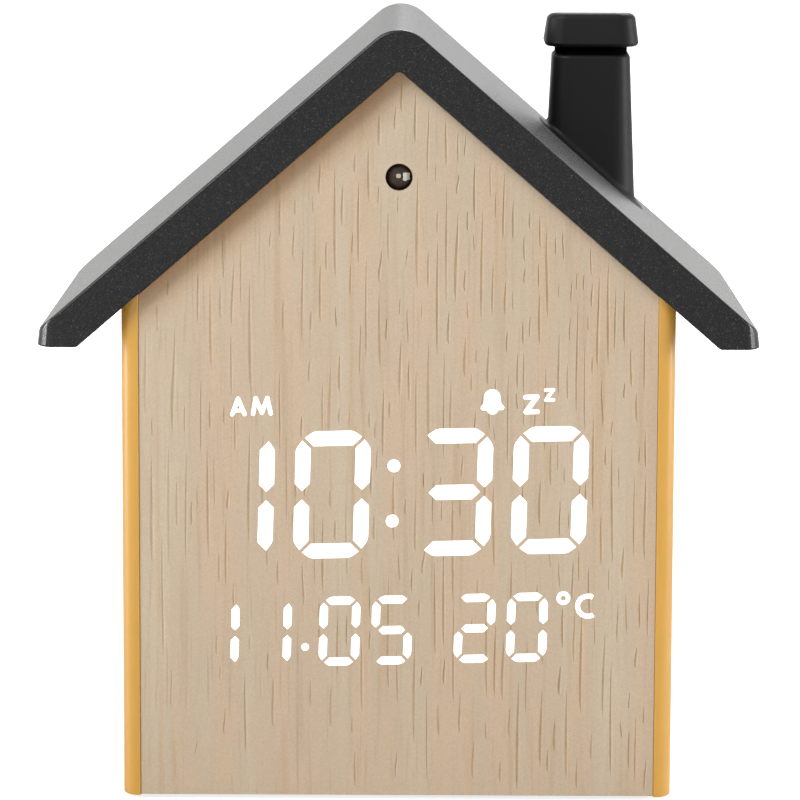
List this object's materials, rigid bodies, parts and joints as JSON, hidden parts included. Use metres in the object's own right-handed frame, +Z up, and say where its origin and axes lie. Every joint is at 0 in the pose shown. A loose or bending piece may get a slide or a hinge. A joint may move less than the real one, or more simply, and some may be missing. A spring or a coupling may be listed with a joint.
{
  "type": "digital alarm clock",
  "caption": "House-shaped digital alarm clock with lit digits behind a wood front, a yellow body, a charcoal pitched roof and a chimney whose cap presses as the snooze button.",
  "frame": {"origin": "under the middle of the clock, on the surface that its feet stand on", "axes": "+Z up, -Y out of the wood front, +Y towards the rear cover, +X to the right as seen from the front, on the chimney side"},
  "size_m": [0.1312, 0.067, 0.1419],
  "materials": {
    "wood": "pale veneer with fine open pores, matt",
    "yellow_plastic": "satin moulded plastic",
    "charcoal_plastic": "fine sparkling moulded grain",
    "dark_plastic": "smooth satin",
    "black_plastic": "matt",
    "white_plastic": "matt",
    "lit_display": "white light that shines through the veneer",
    "sensor_lens": "dark tinted resin",
    "circuit_board": "solder mask",
    "steel": "nickel plated",
    "cell_case": "plain sleeve",
    "lead_rubber": "flexible insulation",
    "foot_rubber": "matt rubber"
  },
  "bodies": {
    "case": {"body_shell": "yellow_plastic", "rear_cover": "yellow_plastic", "roof_shell": "charcoal_plastic", "roof_liner": "charcoal_plastic", "chimney_stack": "dark_plastic", "wood_veneer": "wood", "front_panel": "black_plastic", "battery_tray": "black_plastic", "display_diffuser": "lit_display", "display_reflector": "white_plastic", "display_ribbon": "white_plastic", "display_board": "circuit_board", "main_board": "circuit_board", "snooze_board": "circuit_board", "light_sensor": "sensor_lens", "controller_chip": "black_plastic", "buzzer": "black_plastic", "thermistor": "black_plastic", "snooze_switch": "black_plastic", "snooze_lead": "lead_rubber", "usb_socket": "steel", "set_switch": "black_plastic", "down_switch": "black_plastic", "up_switch": "black_plastic", "alarm_switch": "black_plastic", "foot_front_left": "foot_rubber", "foot_front_right": "foot_rubber", "foot_rear_left": "foot_rubber", "foot_rear_right": "foot_rubber", "roof_screw_1": "steel", "rear_cover_screw_1": "steel", "roof_screw_2": "steel", "rear_cover_screw_2": "steel", "roof_screw_3": "steel", "rear_cover_screw_3": "steel", "roof_screw_4": "steel", "rear_cover_screw_4": "steel", "main_board_screw_1": "steel", "main_board_screw_2": "steel", "battery_cell_1": "cell_case", "battery_cell_2": "cell_case", "battery_cell_3": "cell_case", "battery_contact_first": "steel", "battery_bridge_right": "steel", "battery_bridge_left": "steel", "battery_contact_last": "steel"},
    "snooze": {"snooze_cap": "dark_plastic", "snooze_retainer": "steel", "snooze_switch_stem": "white_plastic"},
    "set_key": {"set_button": "dark_plastic", "set_switch_stem": "white_plastic"},
    "down_key": {"down_button": "dark_plastic", "down_switch_stem": "white_plastic"},
    "up_key": {"up_button": "dark_plastic", "up_switch_stem": "white_plastic"},
    "alarm_key": {"alarm_button": "dark_plastic", "alarm_switch_stem": "white_plastic"},
    "battery_flap": {"battery_door": "yellow_plastic"}
  },
  "joints": [
    {"name": "snooze_press", "type": "slide", "parent": "case", "child": "snooze", "axis": [0, 0, -1], "range_m": [0, 0.0012], "stiffness_N_per_m": 700},
    {"name": "set_press", "type": "slide", "parent": "case", "child": "set_key", "axis": [0, -1, 0], "range_m": [0, 0.0006], "stiffness_N_per_m": 400},
    {"name": "down_press", "type": "slide", "parent": "case", "child": "down_key", "axis": [0, -1, 0], "range_m": [0, 0.0006], "stiffness_N_per_m": 400},
    {"name": "up_press", "type": "slide", "parent": "case", "child": "up_key", "axis": [0, -1, 0], "range_m": [0, 0.0006], "stiffness_N_per_m": 400},
    {"name": "alarm_press", "type": "slide", "parent": "case", "child": "alarm_key", "axis": [0, -1, 0], "range_m": [0, 0.0006], "stiffness_N_per_m": 400},
    {"name": "battery_door_tilt", "type": "hinge", "parent": "case", "child": "battery_flap", "pos_m": [0, 0.03, 0.014], "axis": [-1, 0, 0], "range_deg": [0, 70]}
  ]
}
